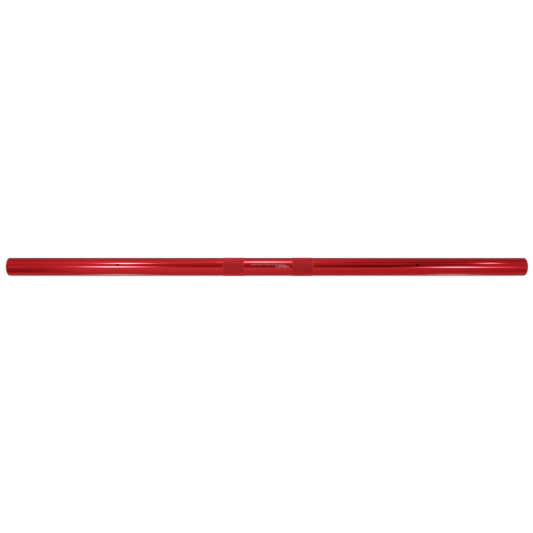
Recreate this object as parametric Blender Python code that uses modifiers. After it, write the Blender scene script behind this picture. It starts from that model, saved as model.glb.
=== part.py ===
"""Straight 22.2 mm (7/8 in) handlebar tube with push-in end plugs.

Frame: origin at the middle of the bar, on its axis. +X runs along the bar,
-Y is the side that the two locating-pin holes open on, +Z is up.
Units are metres.

Pieces
  bar_tube         aluminium tube, with two raised clamp bands rolled into it,
                   bevelled ends and two drilled locating-pin holes
  left_end_plug    moulded push-in plug in the bore's -X end
  right_end_plug   moulded push-in plug in the bore's +X end

Both plugs slide along X, out of their own end of the bore.
"""

import math

import bmesh
import bpy
from mathutils import Matrix, Vector

# ---------------------------------------------------------------- dimensions
BAR_LENGTH = 0.645
BAR_OD = 0.0222            # 7/8 in tube
BORE_D = 0.0142            # 4 mm wall
END_BEVEL = 0.0006         # outer edge of each flat-cut end
MOUTH_BEVEL = 0.0004       # inner edge of each end, which leads the plug in

BAND_OD = 0.0228           # the rolled clamp bands stand 0.3 mm proud
BAND_WIDTH = 0.026
BAND_SPACING = 0.086       # centre to centre
BAND_RAMP = 0.0003         # run-out at each side of a band

PIN_HOLE_D = 0.0028
PIN_HOLE_X = 0.185         # from the middle of the bar
PIN_HOLE_TILT = math.radians(12.5)   # above the -Y direction

PLUG_GAP = 0.0003          # radial clearance between plug and bore
PLUG_RECESS = 0.0008       # the plug's face sits this far inside the end
PLUG_LENGTH = 0.020
PLUG_HEAD_T = 0.0030
PLUG_STEM_D = 0.0074
PLUG_FIN_COUNT = 3
PLUG_FIN_T = 0.0010        # thickness of a fin at its rim
PLUG_FIN_RAMP = 0.0016     # conical flank that leads a fin into the bore
PLUG_FIN_PITCH = 0.0045
PLUG_NOSE_T = 0.0014
PULL_HOLE_D = 0.0042       # blind hole in the face, for a screw to pull on
PULL_HOLE_DEPTH = 0.012

SIDES = 32                 # flats around every turned surface

# A turned surface has flats, so its corners are set out by this factor and
# the distance across the flats is the nominal diameter.
FLATS = 1.0 / math.cos(math.pi / SIDES)


# -------------------------------------------------------------------- helpers
def clear_scene():
    for obj in list(bpy.data.objects):
        bpy.data.objects.remove(obj, do_unlink=True)
    for block in (bpy.data.meshes, bpy.data.materials):
        for item in list(block):
            block.remove(item)
    for item in list(bpy.data.collections):
        bpy.data.collections.remove(item)


def new_collection(name):
    collection = bpy.data.collections.new(name)
    bpy.context.scene.collection.children.link(collection)
    return collection


def principled(name, colour, roughness, metallic):
    material = bpy.data.materials.new(name)
    material.use_nodes = True
    shader = material.node_tree.nodes["Principled BSDF"]
    shader.inputs["Base Color"].default_value = (*colour, 1.0)
    shader.inputs["Roughness"].default_value = roughness
    shader.inputs["Metallic"].default_value = metallic
    material.diffuse_color = (*colour, 1.0)
    return material


def turned(name, outline, collection, material):
    """Spins a closed outline of (radius, height) points about Z.

    The outline runs down its outer side and back up its inner side, which
    turns the faces outward. Half a step of start angle puts flats, not
    corners, on the X and Y directions.
    """
    start = math.pi / SIDES
    mesh = bpy.data.meshes.new(name)
    bm = bmesh.new()
    ring = []
    for radius, height in outline:
        r = radius * FLATS
        ring.append(bm.verts.new((r * math.cos(start), r * math.sin(start), height)))
    closed = all(radius > 1e-6 for radius, _ in outline)
    for a, b in zip(ring, ring[1:]):
        bm.edges.new((a, b))
    if closed:
        bm.edges.new((ring[-1], ring[0]))
    bm.to_mesh(mesh)
    bm.free()
    obj = bpy.data.objects.new(name, mesh)
    collection.objects.link(obj)
    obj.data.materials.append(material)
    screw = obj.modifiers.new("Spin", "SCREW")
    screw.axis = "Z"
    screw.angle = 2.0 * math.pi
    screw.steps = SIDES
    screw.render_steps = SIDES
    screw.use_merge_vertices = True
    screw.merge_threshold = 0.00001
    screw.use_smooth_shade = True
    return obj


def cylinder(name, radius, depth, segments, collection):
    mesh = bpy.data.meshes.new(name)
    bm = bmesh.new()
    bmesh.ops.create_cone(
        bm,
        cap_ends=True,
        segments=segments,
        radius1=radius,
        radius2=radius,
        depth=depth,
    )
    bm.to_mesh(mesh)
    bm.free()
    obj = bpy.data.objects.new(name, mesh)
    collection.objects.link(obj)
    return obj


# ----------------------------------------------------------------------- tube
def bar_outline():
    """Closed outline of the tube's wall, about the bar's own axis."""
    half = BAR_LENGTH / 2
    ro, ri, rb = BAR_OD / 2, BORE_D / 2, BAND_OD / 2
    outer = [(ro - END_BEVEL, half), (ro, half - END_BEVEL)]
    for centre in (BAND_SPACING / 2, -BAND_SPACING / 2):
        top, bottom = centre + BAND_WIDTH / 2, centre - BAND_WIDTH / 2
        outer += [
            (ro, top + BAND_RAMP),
            (rb, top),
            (rb, bottom),
            (ro, bottom - BAND_RAMP),
        ]
    outer += [(ro, -half + END_BEVEL), (ro - END_BEVEL, -half)]
    inner = [
        (ri + MOUTH_BEVEL, -half),
        (ri, -half + MOUTH_BEVEL),
        (ri, half - MOUTH_BEVEL),
        (ri + MOUTH_BEVEL, half),
    ]
    return outer + inner


def make_bar(parts, cutters, material):
    bar = turned("bar_tube", bar_outline(), parts, material)
    bar.rotation_euler = (0.0, math.radians(90.0), 0.0)   # local +Z to +X

    # each locating-pin hole goes through the near wall only
    outward = Vector((0.0, -math.cos(PIN_HOLE_TILT), math.sin(PIN_HOLE_TILT)))
    outside = BAR_OD / 2 + 0.004
    inside = BORE_D / 2 - 0.003
    for side, x in (("left", -PIN_HOLE_X), ("right", PIN_HOLE_X)):
        drill = cylinder(
            "cut_" + side + "_pin_hole", PIN_HOLE_D / 2, outside - inside, 16, cutters
        )
        place = Vector((x, 0.0, 0.0)) + outward * (outside + inside) / 2
        turn = Vector((0.0, 0.0, 1.0)).rotation_difference(outward)
        drill.matrix_world = Matrix.Translation(place) @ turn.to_matrix().to_4x4()
        drill.hide_render = True
        drill.display_type = "WIRE"
        cut = bar.modifiers.new("Drill_" + side, "BOOLEAN")
        cut.operation = "DIFFERENCE"
        cut.solver = "EXACT"
        cut.object = drill
    return bar


# ---------------------------------------------------------------------- plugs
def plug_outline():
    """Half outline of a plug whose face is at height 0 and whose nose is down.

    The face has a blind hole, so the outline starts on the axis at the
    bottom of that hole, comes up its wall, crosses the face, and runs down
    over the fins to the nose, on the axis again.
    """
    rim = BORE_D / 2 - PLUG_GAP
    stem = PLUG_STEM_D / 2
    pull = PULL_HOLE_D / 2
    edge = 0.0004
    points = [
        (0.0, -PULL_HOLE_DEPTH),
        (pull, -PULL_HOLE_DEPTH),
        (pull, -edge),
        (pull + edge, 0.0),
        (rim - edge, 0.0),
        (rim, -edge),
        (rim, -PLUG_HEAD_T),
        (stem, -PLUG_HEAD_T - 0.0006),
    ]
    for i in range(PLUG_FIN_COUNT):
        top = -PLUG_HEAD_T - 0.0034 - i * PLUG_FIN_PITCH
        points += [
            (stem, top),
            (rim, top - 0.0003),
            (rim, top - 0.0003 - PLUG_FIN_T),
            (stem, top - 0.0003 - PLUG_FIN_T - PLUG_FIN_RAMP),
        ]
    points += [
        (stem, -PLUG_LENGTH + PLUG_NOSE_T),
        (stem - PLUG_NOSE_T, -PLUG_LENGTH),
        (0.0, -PLUG_LENGTH),
    ]
    return points


def make_plug(name, sign, parts, material):
    plug = turned(name, plug_outline(), parts, material)
    # the object's origin is the centre of the plug's face, on the slide's axis
    plug.location = (sign * (BAR_LENGTH / 2 - PLUG_RECESS), 0.0, 0.0)
    plug.rotation_euler = (0.0, sign * math.radians(90.0), 0.0)
    return plug


def main():
    clear_scene()
    parts = new_collection("straight_handlebar")
    cutters = new_collection("cutters")
    red = principled("red_anodised", (0.46, 0.02, 0.032), 0.18, 1.0)
    left_black = principled("left_plug_polymer", (0.012, 0.012, 0.013), 0.5, 0.0)
    right_black = principled("right_plug_polymer", (0.012, 0.012, 0.013), 0.5, 0.0)
    make_bar(parts, cutters, red)
    make_plug("left_end_plug", -1.0, parts, left_black)
    make_plug("right_end_plug", 1.0, parts, right_black)
    cutters.hide_render = True
    bpy.context.view_layer.update()


main()
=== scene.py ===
import math

import bmesh
import bpy
from mathutils import Matrix, Vector


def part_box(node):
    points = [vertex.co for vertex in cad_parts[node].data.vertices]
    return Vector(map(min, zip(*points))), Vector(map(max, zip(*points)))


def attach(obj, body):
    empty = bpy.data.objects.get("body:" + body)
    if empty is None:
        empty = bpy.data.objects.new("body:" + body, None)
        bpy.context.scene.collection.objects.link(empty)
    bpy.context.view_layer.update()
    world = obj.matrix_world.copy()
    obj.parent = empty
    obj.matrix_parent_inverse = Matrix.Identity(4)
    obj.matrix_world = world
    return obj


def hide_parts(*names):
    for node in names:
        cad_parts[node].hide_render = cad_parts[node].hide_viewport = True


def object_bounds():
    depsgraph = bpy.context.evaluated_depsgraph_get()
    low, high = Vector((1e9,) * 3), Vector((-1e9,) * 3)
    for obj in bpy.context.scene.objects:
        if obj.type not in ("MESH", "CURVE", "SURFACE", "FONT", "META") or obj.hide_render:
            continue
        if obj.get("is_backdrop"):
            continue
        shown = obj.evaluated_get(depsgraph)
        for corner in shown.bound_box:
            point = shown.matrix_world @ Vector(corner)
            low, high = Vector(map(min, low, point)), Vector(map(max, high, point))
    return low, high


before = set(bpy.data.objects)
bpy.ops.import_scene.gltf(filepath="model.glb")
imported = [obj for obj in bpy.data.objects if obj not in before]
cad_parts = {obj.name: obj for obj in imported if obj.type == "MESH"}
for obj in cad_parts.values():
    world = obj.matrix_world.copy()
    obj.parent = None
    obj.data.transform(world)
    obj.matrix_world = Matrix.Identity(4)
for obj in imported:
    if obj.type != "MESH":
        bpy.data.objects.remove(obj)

LO0, HI0 = (v.copy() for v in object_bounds())

# ------------------------------------------------------------------ sizes
# The bar's length and the band's diameter come from the CAD nodes. The rest
# repeats part.py's own constants, in metres.
BAR_LO, BAR_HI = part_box("bar_tube")
HALF = (BAR_HI[0] - BAR_LO[0]) / 2
BAND_R = (BAR_HI[2] - BAR_LO[2]) / 2
TUBE_R = 0.0111
BORE_R = 0.0071
BAND_HALF_W = 0.013
BAND_X = 0.043
PIN_X = 0.185
PIN_R = 0.0014
PIN_TILT = math.radians(12.5)
PLUG_R = 0.0068
PLUG_RECESS = 0.0008
PLUG_LENGTH = 0.020

STARTS = 96                 # knurl starts round the band
SEG = 2 * STARTS            # vertices round the tube
KNURL_ROWS = 40             # half pitches along one band
KNURL_FLAT = 0.58           # how much of each diamond is left flat on top
KNURL_ROOT = TUBE_R + 0.00010

scene = bpy.context.scene


# ------------------------------------------------------------- node helpers
class Nodes:
    """A short way to lay out a node tree."""

    def __init__(self, tree):
        self.tree = tree

    def new(self, kind, **settings):
        node = self.tree.nodes.new(kind)
        for key, value in settings.items():
            setattr(node, key, value)
        return node

    def link(self, a, b):
        self.tree.links.new(a, b)

    def put(self, socket, value):
        if isinstance(value, bpy.types.NodeSocket):
            self.link(value, socket)
        else:
            socket.default_value = value

    def math(self, op, a, b=None, c=None, clamp=False):
        node = self.new("ShaderNodeMath", operation=op, use_clamp=clamp)
        for i, v in enumerate((a, b, c)):
            if v is not None:
                self.put(node.inputs[i], v)
        return node.outputs[0]

    def ramp(self, value, stops, interpolation="LINEAR"):
        node = self.new("ShaderNodeValToRGB")
        node.color_ramp.interpolation = interpolation
        elements = node.color_ramp.elements
        while len(elements) > 1:
            elements.remove(elements[-1])
        first = True
        for position, colour in stops:
            if not isinstance(colour, tuple):
                colour = (colour, colour, colour)
            if first:
                element = elements[0]
                element.position = position
                first = False
            else:
                element = elements.new(position)
            element.color = (*colour, 1.0)
        self.put(node.inputs["Fac"], value)
        return node.outputs["Color"]

    def range(self, value, lo, hi, to_lo, to_hi, smooth=False):
        node = self.new("ShaderNodeMapRange")
        node.interpolation_type = "SMOOTHSTEP" if smooth else "LINEAR"
        node.clamp = True
        self.put(node.inputs["Value"], value)
        self.put(node.inputs["From Min"], lo)
        self.put(node.inputs["From Max"], hi)
        self.put(node.inputs["To Min"], to_lo)
        self.put(node.inputs["To Max"], to_hi)
        return node.outputs["Result"]

    def noise(self, vector, scale, detail=2.0, roughness=0.5):
        node = self.new("ShaderNodeTexNoise")
        self.put(node.inputs["Vector"], vector)
        self.put(node.inputs["Scale"], scale)
        self.put(node.inputs["Detail"], detail)
        self.put(node.inputs["Roughness"], roughness)
        return node.outputs["Fac"]

    def scaled(self, vector, x, y, z):
        node = self.new("ShaderNodeMapping")
        self.put(node.inputs["Vector"], vector)
        self.put(node.inputs["Scale"], (x, y, z))
        return node.outputs["Vector"]

    def mix(self, factor, a, b, blend="MIX"):
        node = self.new("ShaderNodeMix", data_type="RGBA", blend_type=blend)
        self.put(node.inputs["Factor"], factor)
        self.put(node.inputs[6], a)
        self.put(node.inputs[7], b)
        return node.outputs[2]

    def bump(self, height, strength, distance, normal=None):
        node = self.new("ShaderNodeBump")
        self.put(node.inputs["Height"], height)
        self.put(node.inputs["Strength"], strength)
        self.put(node.inputs["Distance"], distance)
        if normal is not None:
            self.link(normal, node.inputs["Normal"])
        return node.outputs["Normal"]


def material(name):
    made = bpy.data.materials.new(name)
    made.use_nodes = True
    made.node_tree.nodes.clear()
    nodes = Nodes(made.node_tree)
    out = nodes.new("ShaderNodeOutputMaterial")
    shader = nodes.new("ShaderNodeBsdfPrincipled")
    nodes.link(shader.outputs["BSDF"], out.inputs["Surface"])
    return made, nodes, shader


# ---------------------------------------------------------------- materials
def anodised_red():
    """Bright-dipped, polished and red-dyed aluminium: a tinted metal with fine
    draw lines along the bar, slight dye variation and faint handling haze."""
    made, n, shader = material("anodised_red")
    place = n.new("ShaderNodeTexCoord").outputs["Object"]
    lines = n.noise(n.scaled(place, 6.0, 900.0, 900.0), 1.0, 3.0, 0.6)
    fine = n.noise(n.scaled(place, 30.0, 3200.0, 3200.0), 1.0, 2.0, 0.6)
    cloud = n.noise(n.scaled(place, 9.0, 40.0, 40.0), 1.0, 3.0, 0.55)
    haze = n.noise(n.scaled(place, 26.0, 120.0, 120.0), 1.0, 4.0, 0.6)
    dye = n.ramp(cloud, [(0.30, (0.470, 0.0180, 0.0210)), (0.70, (0.525, 0.0230, 0.0265))])
    dye = n.mix(n.range(lines, 0.35, 0.75, 0.0, 0.06), dye, (0.40, 0.012, 0.015, 1.0))
    n.put(shader.inputs["Base Color"], dye)
    shader.inputs["Metallic"].default_value = 1.0
    rough = n.range(haze, 0.30, 0.75, 0.030, 0.046)
    rough = n.math("ADD", rough, n.range(lines, 0.4, 0.8, 0.0, 0.006))
    n.put(shader.inputs["Roughness"], rough)
    normal = n.bump(lines, 0.012, 0.0002)
    normal = n.bump(fine, 0.012, 0.00005, normal)
    n.put(shader.inputs["Normal"], normal)
    return made


def knurl_red_painted_shade():
    """The same finish over the rolled knurl. Painted shade: the flanks and valleys
    are coloured darker than the flat crests, and the right band a shade darker; the flanks are also
    duller."""
    made, n, shader = material("anodised_red_knurled_painted_shade")
    place = n.new("ShaderNodeTexCoord").outputs["Object"]
    split = n.new("ShaderNodeSeparateXYZ")
    n.link(place, split.inputs[0])
    x, y, z = split.outputs
    radius = n.math("SQRT", n.math("ADD", n.math("MULTIPLY", y, y), n.math("MULTIPLY", z, z)))
    # painted shade: this height mask colours the flanks and valleys darker than the crests; it also
    # sets the roughness
    crest_mask_shade_and_gloss = n.range(radius, KNURL_ROOT + 0.00004, BAND_R - 0.00003, 0.0, 1.0, True)
    grain = n.noise(place, 5200.0, 3.0, 0.6)
    cloud = n.noise(n.scaled(place, 30.0, 60.0, 60.0), 1.0, 3.0, 0.55)
    # high is the crest colour; low is the same red made darker, the painted shade of the flanks and
    # valleys
    high = n.ramp(cloud, [(0.30, (0.744, 0.0384, 0.0444)), (0.70, (0.810, 0.0444, 0.0516))])
    low = n.ramp(cloud, [(0.30, (0.651, 0.0294, 0.0347)), (0.70, (0.709, 0.0347, 0.0410))])
    dye = n.mix(crest_mask_shade_and_gloss, low, high)
    # painted shade: the right band's colour is darkened by a tenth and the left band's is not,
    # standing in for the dimmer light the right band gets
    dye = n.mix(n.range(x, -0.03, 0.03, 0.0, 0.10), dye, (0.10, 0.004, 0.005, 1.0))
    n.put(shader.inputs["Base Color"], dye)
    shader.inputs["Metallic"].default_value = 1.0
    shader.inputs["Specular Tint"].default_value = (0.15, 0.08, 0.09, 1.0)
    shader.distribution = "GGX"
    rough = n.range(grain, 0.3, 0.7, -0.04, 0.04)
    n.put(shader.inputs["Roughness"], n.math("ADD", rough, n.range(crest_mask_shade_and_gloss, 0.0, 1.0, 0.60, 0.54)))
    n.put(shader.inputs["Normal"], n.bump(grain, 0.10, 0.00004))
    return made


def bore_red_painted_shade():
    """The bore and hole walls: dull unpolished oxide, coloured near-black as painted shade for the
    inside of the tube and the holes.
    """
    made, n, shader = material("anodised_red_bore_painted_shade")
    place = n.new("ShaderNodeTexCoord").outputs["Object"]
    grain = n.noise(n.scaled(place, 60.0, 1400.0, 1400.0), 1.0, 3.0, 0.6)
    # painted shade: the walls are coloured far darker than the bar's red, with only a weak gloss
    dye = n.ramp(grain, [(0.30, (0.060, 0.0035, 0.0045)), (0.70, (0.095, 0.0055, 0.0070))])
    n.put(shader.inputs["Base Color"], dye)
    shader.inputs["Specular IOR Level"].default_value = 0.12
    n.put(shader.inputs["Roughness"], n.range(grain, 0.3, 0.7, 0.70, 0.85))
    n.put(shader.inputs["Normal"], n.bump(grain, 0.15, 0.00008))
    return made


def moulded_black():
    """Black moulded polymer with a fine spark-eroded grain."""
    made, n, shader = material("moulded_black")
    place = n.new("ShaderNodeTexCoord").outputs["Object"]
    grain = n.noise(place, 2600.0, 4.0, 0.65)
    cloud = n.noise(place, 120.0, 3.0, 0.5)
    base = n.ramp(cloud, [(0.3, (0.0105, 0.0105, 0.0115)), (0.7, (0.0175, 0.0175, 0.0185))])
    n.put(shader.inputs["Base Color"], base)
    n.put(shader.inputs["Roughness"], n.range(grain, 0.3, 0.7, 0.42, 0.58))
    n.put(shader.inputs["Normal"], n.bump(grain, 0.35, 0.00006))
    return made


def mark_ink():
    """Pale laser-etched tick marks: frosted bare oxide."""
    made, n, shader = material("etched_marks")
    place = n.new("ShaderNodeTexCoord").outputs["Object"]
    grain = n.noise(place, 4200.0, 3.0, 0.6)
    base = n.ramp(grain, [(0.3, (0.50, 0.22, 0.22)), (0.7, (0.62, 0.33, 0.33))])
    n.put(shader.inputs["Base Color"], base)
    shader.inputs["Metallic"].default_value = 0.6
    n.put(shader.inputs["Roughness"], n.range(grain, 0.3, 0.7, 0.5, 0.7))
    n.put(shader.inputs["Normal"], n.bump(grain, 0.3, 0.00003))
    return made


RED, KNURL_PAINTED_SHADE, BORE_PAINTED_SHADE = anodised_red(), knurl_red_painted_shade(), bore_red_painted_shade()
BLACK, MARK = moulded_black(), mark_ink()


# ------------------------------------------------------------- mesh helpers
def around(x, r, k, count=SEG):
    a = 2.0 * math.pi * (k + 0.5) / count
    return (x, r * math.cos(a), r * math.sin(a))


def ring(bm, x, r, count=SEG):
    return [bm.verts.new(around(x, r, k, count)) for k in range(count)]


def bridge(bm, a, b, index=0):
    count = len(a)
    for k in range(count):
        m = (k + 1) % count
        bm.faces.new((a[k], b[k], b[m], a[m])).material_index = index


def finished(name, bm, materials, sharp=24.0):
    bmesh.ops.recalc_face_normals(bm, faces=bm.faces[:])
    mesh = bpy.data.meshes.new(name)
    bm.to_mesh(mesh)
    bm.free()
    for m in materials:
        mesh.materials.append(m)
    mesh.shade_smooth()
    mesh.set_sharp_from_angle(angle=math.radians(sharp))
    obj = bpy.data.objects.new(name, mesh)
    scene.collection.objects.link(obj)
    return obj


def rounded(corner_a, corner, corner_b, radius, steps=4):
    """Points that round the corner of a turned profile, from a's side to b's."""
    p, a, b = Vector(corner), Vector(corner_a), Vector(corner_b)
    start = p + (a - p).normalized() * radius
    end = p + (b - p).normalized() * radius
    points = []
    for i in range(steps + 1):
        t = i / steps
        points.append(tuple((1 - t) ** 2 * start + 2 * t * (1 - t) * p + t * t * end))
    return points


def smooth_profile(points, radius_of, steps=4):
    """Rounds the inner points of an open profile of (x, r) pairs."""
    made = [points[0]]
    for i in range(1, len(points) - 1):
        r = radius_of.get(i, 0.0)
        if r:
            made += rounded(points[i - 1], points[i], points[i + 1], r, steps)
        else:
            made.append(points[i])
    made.append(points[-1])
    return made


# --------------------------------------------------------------- the tube
def knurled_band(bm, centre, left_ring):
    """Adds one band of rolled diamond knurl, from left_ring (at the band's left
    foot) to a new ring at its right foot, which it returns."""
    x0 = centre - BAND_HALF_W
    step = 2.0 * BAND_HALF_W / KNURL_ROWS
    right_ring = ring(bm, centre + BAND_HALF_W, TUBE_R)
    da = 2.0 * math.pi / SEG

    def at(x, r, k):
        a = da * (k + 0.5)
        return bm.verts.new((x, r * math.cos(a), r * math.sin(a)))

    valley = {}
    for k in range(SEG):
        valley[0, k] = left_ring[k]
        valley[KNURL_ROWS, k] = right_ring[k]
    for j in range(1, KNURL_ROWS):
        for k in range(SEG):
            if (j + k) % 2:
                valley[j, k] = at(x0 + j * step, KNURL_ROOT, k)
    for j in range(1, KNURL_ROWS):
        # the crests lose height over the band's first and last rows
        edge = min(j, KNURL_ROWS - j)
        top = KNURL_ROOT + (BAND_R - KNURL_ROOT) * min(1.0, 0.55 + 0.25 * edge)
        for k in range(SEG):
            if (j + k) % 2:
                continue
            x, f = x0 + j * step, KNURL_FLAT
            back = at(x, top, k - f)
            front = at(x, top, k + f)
            left = at(x - f * step, top, k)
            right = at(x + f * step, top, k)
            km, kp = (k - 1) % SEG, (k + 1) % SEG
            v_back, v_front = valley[j, km], valley[j, kp]
            v_left, v_right = valley[j - 1, k], valley[j + 1, k]
            for face in (
                (back, left, front, right),
                (back, v_back, v_left, left),
                (left, v_left, v_front, front),
                (front, v_front, v_right, right),
                (right, v_right, v_back, back),
            ):
                bm.faces.new(face).material_index = 1
    for j, foot in ((1, 0), (KNURL_ROWS - 1, KNURL_ROWS)):
        for k in range(SEG):
            if (j + k) % 2:
                km, kp = (k - 1) % SEG, (k + 1) % SEG
                for m in (km, kp):
                    bm.faces.new((valley[foot, k], valley[j, k], valley[foot, m])).material_index = 1
    return right_ring


def make_tube():
    bm = bmesh.new()
    end = smooth_profile(
        [
            (-HALF, BORE_R + 0.0004),
            (-HALF, TUBE_R),
            (-HALF + 0.003, TUBE_R),
        ],
        {1: 0.0007},
        6,
    )
    end = [(x, r) for x, r in end]
    first = ring(bm, *end[0])
    last = first
    for x, r in end[1:]:
        nxt = ring(bm, x, r)
        bridge(bm, last, nxt)
        last = nxt

    def plain_to(x):
        nonlocal last
        nxt = ring(bm, x, TUBE_R)
        bridge(bm, last, nxt)
        last = nxt

    feet = (-BAND_X - BAND_HALF_W, -BAND_X + BAND_HALF_W, BAND_X - BAND_HALF_W, BAND_X + BAND_HALF_W)
    # narrow rings beside each band keep its foot from bending the plain tube's
    # shading
    for i in range(1, 9):
        plain_to(-HALF + 0.003 + (feet[0] - 0.0004 + HALF - 0.003) * i / 8)
    plain_to(feet[0] - 0.0001)
    plain_to(feet[0])
    last = knurled_band(bm, -BAND_X, last)
    for x in (feet[1] + 0.0001, feet[1] + 0.0004, 0.0, feet[2] - 0.0004, feet[2] - 0.0001, feet[2]):
        plain_to(x)
    last = knurled_band(bm, BAND_X, last)
    plain_to(feet[3] + 0.0001)
    plain_to(feet[3] + 0.0004)
    for i in range(1, 9):
        plain_to(feet[3] + 0.0004 + (HALF - 0.003 - feet[3] - 0.0004) * i / 8)
    for x, r in reversed(end[:-1]):
        nxt = ring(bm, -x, r)
        bridge(bm, last, nxt)
        last = nxt
    # the bore, back to the left end
    for x, r in (
        (HALF - 0.00012, BORE_R + 0.00016),
        (HALF - 0.0004, BORE_R),
        (0.15, BORE_R),
        (-0.15, BORE_R),
        (-HALF + 0.0004, BORE_R),
        (-HALF + 0.00012, BORE_R + 0.00016),
    ):
        nxt = ring(bm, x, r)
        # the bore's inner wall takes the painted-shade bore material
        bridge(bm, last, nxt, 2 if r == BORE_R and last[0].co.x < HALF - 0.0003 else 0)
        last = nxt
    bridge(bm, last, first)
    return finished("handlebar_tube", bm, [RED, KNURL_PAINTED_SHADE, BORE_PAINTED_SHADE])


def drill_pin_holes(tube):
    """Drills both locating-pin holes, with the small countersink a deburring
    tool leaves, through the near wall."""
    outward = Vector((0.0, -math.cos(PIN_TILT), math.sin(PIN_TILT)))
    turn = Vector((1.0, 0.0, 0.0)).rotation_difference(outward).to_matrix().to_4x4()
    cutters = []
    for name, x in (("left", -PIN_X), ("right", PIN_X)):
        bm = bmesh.new()
        profile = [
            (0.0050, 0.0),
            (0.0050, PIN_R),
            (TUBE_R - 0.00016, PIN_R),
            (TUBE_R + 0.0006, PIN_R + 0.00076),
            (0.0150, PIN_R + 0.00076),
            (0.0150, 0.0),
        ]
        rings = [ring(bm, h, r, 48) for h, r in profile[1:-1]]
        # the hole walls and the hole's inner end take the painted-shade bore material
        for i in range(len(rings) - 1):
            bridge(bm, rings[i], rings[i + 1], 2)
        bm.faces.new(rings[0]).material_index = 2
        bm.faces.new(rings[-1])
        bmesh.ops.recalc_face_normals(bm, faces=bm.faces[:])
        mesh = bpy.data.meshes.new("cut_" + name)
        bm.to_mesh(mesh)
        bm.free()
        for m in (RED, KNURL_PAINTED_SHADE, BORE_PAINTED_SHADE):
            mesh.materials.append(m)
        cutter = bpy.data.objects.new("cut_" + name, mesh)
        scene.collection.objects.link(cutter)
        cutter.matrix_world = Matrix.Translation((x, 0.0, 0.0)) @ turn
        cutters.append(cutter)
        cut = tube.modifiers.new("Drill_" + name, "BOOLEAN")
        cut.operation = "DIFFERENCE"
        cut.solver = "EXACT"
        cut.object = cutter
    bpy.context.view_layer.update()
    graph = bpy.context.evaluated_depsgraph_get()
    drilled = bpy.data.meshes.new_from_object(tube.evaluated_get(graph))
    old = tube.data
    tube.modifiers.clear()
    tube.data = drilled
    drilled.name = "handlebar_tube"
    bpy.data.meshes.remove(old)
    for cutter in cutters:
        mesh = cutter.data
        bpy.data.objects.remove(cutter)
        bpy.data.meshes.remove(mesh)
    drilled.shade_smooth()
    drilled.set_sharp_from_angle(angle=math.radians(24.0))


# -------------------------------------------------------------- the plugs
def make_plug(name, sign):
    """A push-in end plug. Heights run from its face, at 0, down to its nose."""
    stem, pull = 0.0037, 0.0021
    points = [(0.0, 0.0), (0.0, pull + 0.0005)]
    profile = [
        (-0.0120, 0.0),
        (-0.0120, pull - 0.0003),
        (-0.0117, pull),
        (-0.0009, pull),
        (-0.0002, pull + 0.0006),
        (-0.00018, 0.0033),
        (-0.00045, 0.0035),
        (-0.00045, 0.0043),
        (-0.00018, 0.0045),
        (0.0, 0.0047),
        (0.0, PLUG_R - 0.0007),
        (-0.0002, PLUG_R - 0.0002),
        (-0.0007, PLUG_R),
        (-0.0030, PLUG_R),
        (-0.0033, PLUG_R - 0.0003),
        (-0.0036, stem + 0.0006),
        (-0.0042, stem),
    ]
    for i in range(3):
        top = -0.0030 - 0.0034 - i * 0.0045
        profile += [
            (top, stem),
            (top - 0.0002, stem + 0.0003),
            (top - 0.0003, PLUG_R - 0.0002),
            (top - 0.0005, PLUG_R),
            (top - 0.0011, PLUG_R),
            (top - 0.0014, PLUG_R - 0.0003),
            (top - 0.0027, stem + 0.0003),
            (top - 0.0029, stem),
        ]
    profile += [
        (-PLUG_LENGTH + 0.0014, stem),
        (-PLUG_LENGTH + 0.0004, stem - 0.0006),
        (-PLUG_LENGTH, stem - 0.0012),
        (-PLUG_LENGTH, 0.0),
    ]
    bm = bmesh.new()
    count = 128
    face_x = sign * (HALF - PLUG_RECESS)
    rings = [ring(bm, face_x + sign * h, r, count) for h, r in profile[1:-1]]
    for a, b in zip(rings, rings[1:]):
        bridge(bm, a, b)
    for (h, _), edge in ((profile[0], rings[0]), (profile[-1], rings[-1])):
        tip = bm.verts.new((face_x + sign * h, 0.0, 0.0))
        for k in range(count):
            bm.faces.new((tip, edge[k], edge[(k + 1) % count]))
    return finished(name, bm, [BLACK], 32.0)


# ---------------------------------------------------- generic alignment marks
def make_marks():
    """A plain row of graduation ticks between the bands, to centre the bar and
    turn it to the same place each time. It holds no lettering."""
    bm = bmesh.new()
    low, high = TUBE_R - 0.00002, TUBE_R + 0.000018

    def tick(x0, x1, t0, t1):
        steps = 4
        columns = []
        for i in range(steps + 1):
            t = math.radians(t0 + (t1 - t0) * i / steps)
            row = []
            for x in (x0, x1):
                for r in (low, high):
                    row.append(bm.verts.new((x, -r * math.cos(t), r * math.sin(t))))
            columns.append(row)
        for a, b in zip(columns, columns[1:]):
            bm.faces.new((a[1], b[1], b[3], a[3]))
            bm.faces.new((a[0], a[2], b[2], b[0]))
            bm.faces.new((a[0], b[0], b[1], a[1]))
            bm.faces.new((a[2], a[3], b[3], b[2]))
        for a in (columns[0], columns[-1]):
            bm.faces.new((a[0], a[1], a[3], a[2]))

    # graduations every 2 mm about the middle, longer every 10 mm
    for i in range(-10, 11):
        x = i * 0.002
        long = 0.0 if i % 5 else 3.2
        tick(x - 0.00022, x + 0.00022, 11.0 - long, 18.0)
    # angle ladder, to the right of the middle
    for i in range(5):
        t = -2.0 + 3.1 * i
        inset = 0.0 if i in (0, 2, 4) else 0.004
        if t < 9:
            tick(0.0095 + inset, 0.0265 - inset, t - 0.75, t + 0.75)
    return finished("centring_marks", bm, [MARK], 30.0)


tube = make_tube()
drill_pin_holes(tube)
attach(tube, "bar")
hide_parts("bar_tube")

marks = make_marks()
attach(marks, "bar")

for side, sign in (("left", -1.0), ("right", 1.0)):
    plug = make_plug(side + "_plug_moulding", sign)
    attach(plug, side + "_plug")
    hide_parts(side + "_end_plug")

# ------------------------------------------------------------------ floor
FLOOR_Z = BAR_LO[2] - 0.00002


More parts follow.
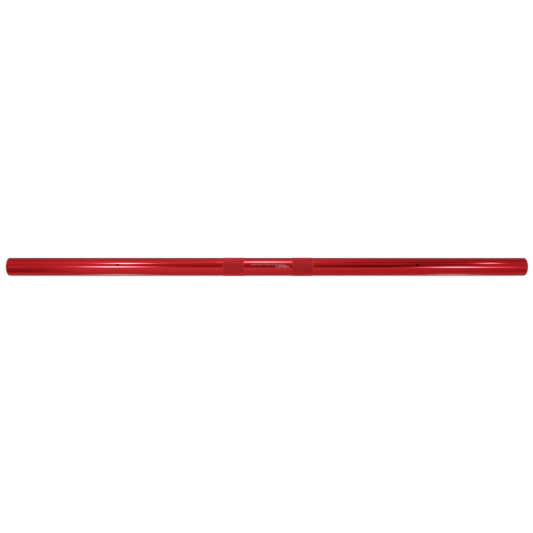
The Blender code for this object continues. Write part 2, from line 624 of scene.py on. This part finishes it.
def make_floor():
    bm = bmesh.new()
    bmesh.ops.create_grid(bm, x_segments=8, y_segments=8, size=12.0)
    mesh = bpy.data.meshes.new("floor")
    bm.to_mesh(mesh)
    bm.free()
    made, n, shader = material("floor_paper")
    place = n.new("ShaderNodeTexCoord").outputs["Object"]
    grain = n.noise(place, 40.0, 4.0, 0.6)
    n.put(shader.inputs["Base Color"], n.ramp(grain, [(0.3, 0.875), (0.7, 0.895)]))
    shader.inputs["Roughness"].default_value = 0.9
    shader.inputs["Specular IOR Level"].default_value = 0.1
    mesh.materials.append(made)
    floor = bpy.data.objects.new("floor", mesh)
    floor.location.z = FLOOR_Z
    floor.visible_glossy = False
    scene.collection.objects.link(floor)
    floor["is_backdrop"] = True


make_floor()


# ------------------------------------------------------------------ world
VIEW_X, VIEW_D = -0.0085, 0.7417      # where the camera stands, and how far off


def make_world():
    """A white light tent with lamps, as the polished bar mirrors it. phi is the
    angle round the bar, from the horizon in front of it up and over to the
    horizon behind it. along is where on the bar, in metres, the camera meets
    that direction. Only mirrored rays see the lamps: the floor gets plain
    white light."""
    world = bpy.data.worlds.new("studio")
    scene.world = world
    world.use_nodes = True
    tree = world.node_tree
    tree.nodes.clear()
    n = Nodes(tree)
    out = n.new("ShaderNodeOutputWorld")
    direction = n.new("ShaderNodeTexCoord").outputs["Generated"]
    split = n.new("ShaderNodeSeparateXYZ")
    n.link(direction, split.inputs[0])
    x, y, z = split.outputs
    phi = n.math("MULTIPLY", n.math("ARCTAN2", z, n.math("MULTIPLY", y, -1.0)), 180.0 / math.pi)
    flat = n.math("SQRT", n.math("SUBTRACT", 1.0001, n.math("MULTIPLY", x, x)))
    along = n.math("MULTIPLY_ADD", n.math("DIVIDE", x, flat), VIEW_D, VIEW_X)

    def hill(value, centre, width):
        d = n.math("DIVIDE", n.math("SUBTRACT", value, centre), width)
        return n.math("EXPONENT", n.math("MULTIPLY", n.math("MULTIPLY", d, d), -1.0))

    def rise(value, centre, soft):
        return n.range(value, centre - soft, centre + soft, 0.0, 1.0, True)

    def fall(value, centre, soft):
        return n.range(value, centre - soft, centre + soft, 1.0, 0.0, True)

    def shelf(value, lo, hi, soft):
        return n.math("MULTIPLY", rise(value, lo, soft), fall(value, hi, soft))

    def swept(angle, stops):
        colour = n.ramp(
            n.math("DIVIDE", n.math("ADD", angle, 180.0), 360.0),
            [((a + 180.0) / 360.0, level) for a, level in stops],
        )
        value = n.new("ShaderNodeSeparateColor")
        n.link(colour, value.inputs[0])
        return value.outputs[0]

    # the tent: a bright table below the horizon, a dim gap at it, bright walls
    # above and a dim back wall
    light = swept(phi, (
        (-180.0, 0.40),
        (-130.0, 0.57),
        (-100.0, 0.77),
        (-60.0, 0.93),
        (-30.0, 1.02),
        (-9.0, 1.00),
        (-4.0, 0.47),
        (8.0, 0.47),
        (18.0, 0.55),
        (36.0, 0.76),
        (56.0, 0.98),
        (82.0, 0.94),
        (112.0, 0.80),
        (142.0, 0.36),
        (165.0, 0.20),
        (180.0, 0.20),
    ))
    table = shelf(phi, -80.0, -14.0, 7.0)
    gap = hill(phi, 8.0, 14.0)
    # panels: where along the bar, where round it, change in level
    for where, about, change in (
        (fall(along, -0.110, 0.040), gap, 0.36),
        (hill(along, 0.143, 0.062), gap, -0.31),
        (rise(along, 0.248, 0.036), gap, 0.30),
        (hill(along, 0.183, 0.095), hill(phi, 58.0, 7.0), -0.48),
        (rise(along, 0.134, 0.062), hill(phi, 82.0, 32.0), -0.37),
        (fall(along, -0.250, 0.060), hill(phi, 90.0, 35.0), -0.27),
        (fall(along, -0.262, 0.045), table, -0.50),
        (rise(along, 0.060, 0.220), table, -0.20),
        (rise(along, 0.285, 0.035), table, -0.14),
        (shelf(along, 0.162, 0.264, 0.025), hill(phi, 30.0, 9.0), -0.25),
        (hill(along, 0.190, 0.028), hill(phi, 45.0, 6.0), -0.20),
        (hill(along, -0.235, 0.050), hill(phi, 22.0, 13.0), 0.18),
        (hill(along, -0.135, 0.030), hill(phi, 18.0, 7.0), -0.20),
        (shelf(along, -0.035, 0.150, 0.025), hill(phi, -4.0, 6.5), -0.22),
        (hill(along, 0.012, 0.030), hill(phi, 10.0, 7.0), -0.13),
        (shelf(along, 0.055, 0.140, 0.030), hill(phi, 58.0, 28.0), -0.11),
    ):
        part = n.math("MULTIPLY", n.math("MULTIPLY", where, about), change)
        light = n.math("ADD", light, part)
    light = n.math("MAXIMUM", light, 0.04)

    # past the bar's ends the tent is plain, the same behind as in front, and
    # dimmer in its two end walls
    side = rise(n.math("ABSOLUTE", along), 0.62, 0.16)
    folded = n.math("ARCSINE", n.math("DIVIDE", z, flat), clamp=False)
    folded = n.math("MULTIPLY", folded, 180.0 / math.pi)
    plain = swept(folded, (
        (-90.0, 0.75),
        (-60.0, 0.92),
        (-9.0, 1.00),
        (-4.0, 0.42),
        (8.0, 0.42),
        (30.0, 0.70),
        (56.0, 0.96),
        (90.0, 0.90),
    ))
    ends = fall(n.math("ABSOLUTE", x), 0.93, 0.06)
    plain = n.math("MULTIPLY", plain, n.range(ends, 0.0, 1.0, 0.55, 1.0))
    for about, strength in ((47.0, 7.0), (-14.0, 3.0)):
        strip = n.math("MULTIPLY", hill(folded, about, 4.0), ends)
        plain = n.math("MULTIPLY_ADD", strip, strength, plain)
    swap = n.math("SUBTRACT", plain, light)
    light = n.math("MULTIPLY_ADD", swap, side, light)

    # lamps: where along, its width, where round, softness, strength, and how
    # much red and blue it has. Red and blue level off, as they do on film
    red, blue = 0.0, 0.0
    rest = n.math("MULTIPLY", light, n.range(light, 0.70, 1.03, 0.62, 1.12, True))
    grey = rest
    for p, wp, lo, hi, soft, strength, reddish, bluish in (
        (-0.177, 0.0200, 39.8, 47.6, 0.7, 64.0, 1.0, 1.0),
        (-0.180, 0.0550, 37.0, 53.0, 3.0, 0.9, 1.3, 1.0),
        (0.278, 0.0105, 39.0, 51.5, 0.8, 14.0, 1.0, 1.0),
        (0.273, 0.0190, 37.0, 53.0, 4.0, 0.6, 1.0, 1.0),
        (-0.192, 0.0290, -6.6, 5.6, 1.0, 34.0, 1.0, 1.0),
        (0.240, 0.0300, -12.0, -1.2, 0.8, 33.0, 1.0, 1.0),
        (0.296, 0.0130, -12.0, 2.0, 2.0, 1.4, 1.0, 1.0),
        (-0.006, 0.0300, 53.5, 75.5, 1.5, 14.0, 0.9, 0.75),
        (-0.012, 0.0520, 55.0, 82.0, 6.0, 0.6, 1.0, 0.75),
        (-0.185, 0.0320, -132.0, -110.0, 4.0, 3.8, 0.2, 0.7),
        (0.230, 0.0250, -132.0, -110.0, 4.0, 3.5, 0.2, 0.7),
    ):
        glow = n.math("MULTIPLY", hill(along, p, wp), shelf(phi, lo, hi, soft))
        red = n.math("MULTIPLY_ADD", glow, strength * reddish, red)
        rest = n.math("MULTIPLY_ADD", glow, strength, rest)
        blue = n.math("MULTIPLY_ADD", glow, strength * bluish, blue)
    level = n.math("DIVIDE", red, n.math("ADD", red, 0.9))
    red = n.math("MULTIPLY_ADD", level, 1.25, n.math("MULTIPLY", red, 0.10))
    red = n.math("ADD", light, red)
    blue = n.math("DIVIDE", n.math("MULTIPLY", blue, 1.6), n.math("MULTIPLY_ADD", blue, 0.016, 1.0))
    blue = n.math("ADD", grey, blue)
    colour = n.new("ShaderNodeCombineColor")
    for socket, level in zip(colour.inputs, (red, rest, blue)):
        n.link(level, socket)
    studio = n.new("ShaderNodeBackground")
    n.link(colour.outputs[0], studio.inputs["Color"])
    white = n.new("ShaderNodeBackground")
    white.inputs["Color"].default_value = (1.0, 1.0, 1.0, 1.0)
    white.inputs["Strength"].default_value = 1.02
    mix = n.new("ShaderNodeMixShader")
    n.link(n.new("ShaderNodeLightPath").outputs["Is Glossy Ray"], mix.inputs[0])
    n.link(white.outputs[0], mix.inputs[1])
    n.link(studio.outputs[0], mix.inputs[2])
    n.link(mix.outputs[0], out.inputs["Surface"])


make_world()

key = bpy.data.lights.new("overhead", "SUN")
key.angle = math.radians(60.0)
key.energy = 0.62
overhead = bpy.data.objects.new("overhead", key)
overhead.rotation_euler = (math.radians(12.0), math.radians(-8.0), 0.0)
overhead.visible_glossy = False
scene.collection.objects.link(overhead)

# ----------------------------------------------------------------- camera
lens = bpy.data.cameras.new("camera")
lens.lens = 40.0
lens.sensor_width = 36.0
lens.clip_start, lens.clip_end = 0.01, 100.0
camera = bpy.data.objects.new("camera", lens)
camera.location = (VIEW_X, -VIEW_D, 0.00033)
camera.rotation_euler = (math.radians(90.0), 0.0, math.radians(-0.523))
scene.collection.objects.link(camera)
scene.camera = camera

scene.view_settings.view_transform = "Standard"
scene.view_settings.look = "None"
